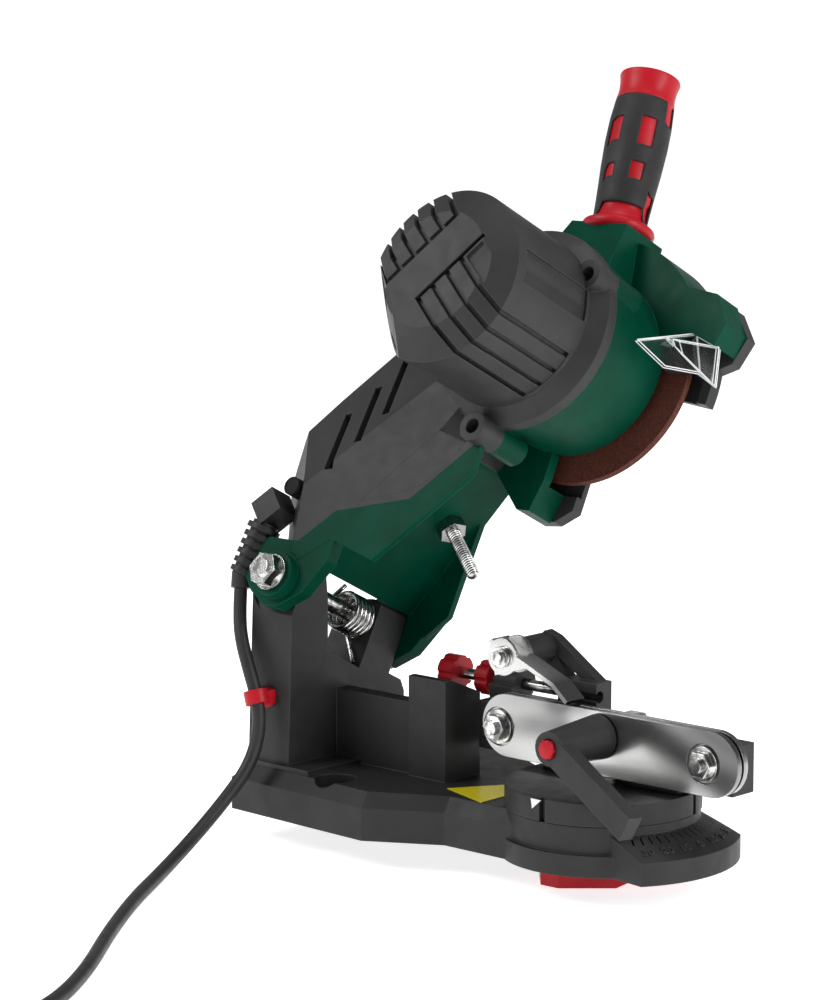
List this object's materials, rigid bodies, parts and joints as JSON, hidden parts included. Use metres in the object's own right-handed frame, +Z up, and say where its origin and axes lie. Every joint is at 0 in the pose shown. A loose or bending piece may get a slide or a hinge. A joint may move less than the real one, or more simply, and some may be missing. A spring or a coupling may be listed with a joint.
{
  "type": "chainsaw chain sharpener",
  "caption": "Bench-mounted electric sharpener for saw chain: a spring-held motor arm with a grinding wheel and handle tilts over a swivelling vise that grips the chain.",
  "frame": {"origin": "midway between the two bench holes, on the underside that rests on the bench", "axes": "+X from the tower towards the vise, +Y to the left of a person behind the tower, +Z up"},
  "size_m": [0.2545, 0.5749, 0.3331],
  "materials": {
    "cast_black": "dark grey, fine textured",
    "shell_black": "charcoal, fine textured",
    "housing_green": "dark green, satin gloss",
    "red_plastic": "bright red, satin",
    "grip_rubber": "black soft grip",
    "cord_rubber": "black cable sheath",
    "zinc_steel": "zinc plated",
    "bright_steel": "bright plated",
    "abrasive": "reddish brown grit",
    "clear_plastic": "clear, polished",
    "label_yellow": "printed yellow label",
    "copper": "bare copper",
    "core_steel": "laminated steel",
    "carbon": "pressed carbon",
    "pin_brass": "nickel plated"
  },
  "bodies": {
    "base": {"base_casting": "cast_black", "base_label": "label_yellow", "cord_clip": "red_plastic", "pivot_bolt": "bright_steel", "pivot_nut": "bright_steel", "torsion_spring": "bright_steel", "mains_cord": "cord_rubber", "cord_coil": "cord_rubber", "plug_body": "cord_rubber", "plug_pins": "pin_brass"},
    "arm": {"arm_body": "housing_green", "motor_shell": "shell_black", "wheel_cover": "shell_black", "cover_screws": "bright_steel", "shell_screws": "bright_steel", "eye_shield": "clear_plastic", "handle_core": "red_plastic", "handle_grip": "grip_rubber", "handle_stud": "zinc_steel", "motor_bearings": "bright_steel", "bearing_plate": "shell_black", "motor_stator": "core_steel", "brush_holders": "pin_brass", "carbon_brushes": "carbon", "depth_lock_nut": "zinc_steel", "strain_relief": "cord_rubber", "switch_body": "shell_black"},
    "rotor": {"rotor_shaft": "bright_steel", "rotor_core": "core_steel", "commutator": "copper", "motor_fan": "shell_black", "grinding_wheel": "abrasive", "wheel_flanges": "zinc_steel", "spindle_nut": "zinc_steel"},
    "depth_stop": {"depth_screw": "bright_steel"},
    "rocker": {"switch_rocker": "red_plastic"},
    "table": {"turntable": "cast_black", "vise_bar": "cast_black", "fixed_rail": "zinc_steel", "rail_bolts": "bright_steel", "clamp_stud": "bright_steel", "table_bolt": "zinc_steel"},
    "jaw": {"clamp_rail": "zinc_steel"},
    "lever": {"clamp_lever": "shell_black"},
    "button": {"lever_button": "red_plastic"},
    "feed": {"feed_knob": "red_plastic", "feed_screw": "bright_steel"},
    "lock": {"lock_knob": "red_plastic"},
    "stop": {"stop_bracket": "shell_black", "pawl_pin": "bright_steel"},
    "pawl": {"stop_pawl": "zinc_steel"},
    "handle": {"lock_handle": "red_plastic"}
  },
  "joints": [
    {"name": "arm_tilt", "type": "hinge", "parent": "base", "child": "arm", "pos_m": [-0.033, 0, 0.0833], "axis": [0, 0.891, -0.454], "range_deg": [0, 27], "stiffness_Nm_per_rad": 1.2, "springref_deg": -85.94},
    {"name": "wheel_spin", "type": "hinge", "parent": "arm", "child": "rotor", "pos_m": [0.0546, 0.05611, 0.19343], "axis": [0, 0.891, -0.454], "continuous": true},
    {"name": "depth_set", "type": "slide", "parent": "arm", "child": "depth_stop", "axis": [-0.7361, 0.3073, 0.6031], "range_m": [-0.005, 0.005]},
    {"name": "switch_rock", "type": "hinge", "parent": "arm", "child": "rocker", "pos_m": [-0.04976, 0.02556, 0.15549], "axis": [0, 0.891, -0.454], "range_deg": [-16, 0]},
    {"name": "table_swing", "type": "hinge", "parent": "base", "child": "table", "pos_m": [0.115, 0, 0.02], "axis": [0, 0, 1], "range_deg": [-308, 0]},
    {"name": "jaw_slide", "type": "slide", "parent": "table", "child": "jaw", "axis": [0, -1, 0], "range_m": [0, 0.0004886]},
    {"name": "lever_turn", "type": "hinge", "parent": "table", "child": "lever", "pos_m": [0.116, -0.02, 0.05], "axis": [0, -1, 0], "range_deg": [0, 200]},
    {"name": "button_press", "type": "slide", "parent": "lever", "child": "button", "axis": [0, 1, 0], "range_m": [0, 0.0025], "stiffness_N_per_m": 200, "springref_m": -0.001},
    {"name": "feed_turn", "type": "hinge", "parent": "table", "child": "feed", "pos_m": [0.05, 0.019, 0.06], "axis": [1, 0, 0], "range_deg": [-1800, 1800]},
    {"name": "stop_slide", "type": "slide", "parent": "table", "child": "stop", "axis": [1, 0, 0], "range_m": [-0.00399, 0.00399]},
    {"name": "lock_turn", "type": "hinge", "parent": "feed", "child": "lock", "pos_m": [0.0365, 0.019, 0.06], "axis": [1, 0, 0], "range_deg": [-180, 180]},
    {"name": "pawl_flip", "type": "hinge", "parent": "stop", "child": "pawl", "pos_m": [0.064, 0, 0.0765], "axis": [0, -1, 0], "range_deg": [0, 100]},
    {"name": "handle_turn", "type": "hinge", "parent": "table", "child": "handle", "pos_m": [0.115, 0, -0.006], "axis": [0, 0, 1], "range_deg": [0, 90]}
  ],
  "couplings": [
    {"joint": "lever_turn", "follows": "jaw_slide", "rad_per_m": 7142.9},
    {"joint": "feed_turn", "follows": "stop_slide", "rad_per_m": 7874}
  ]
}
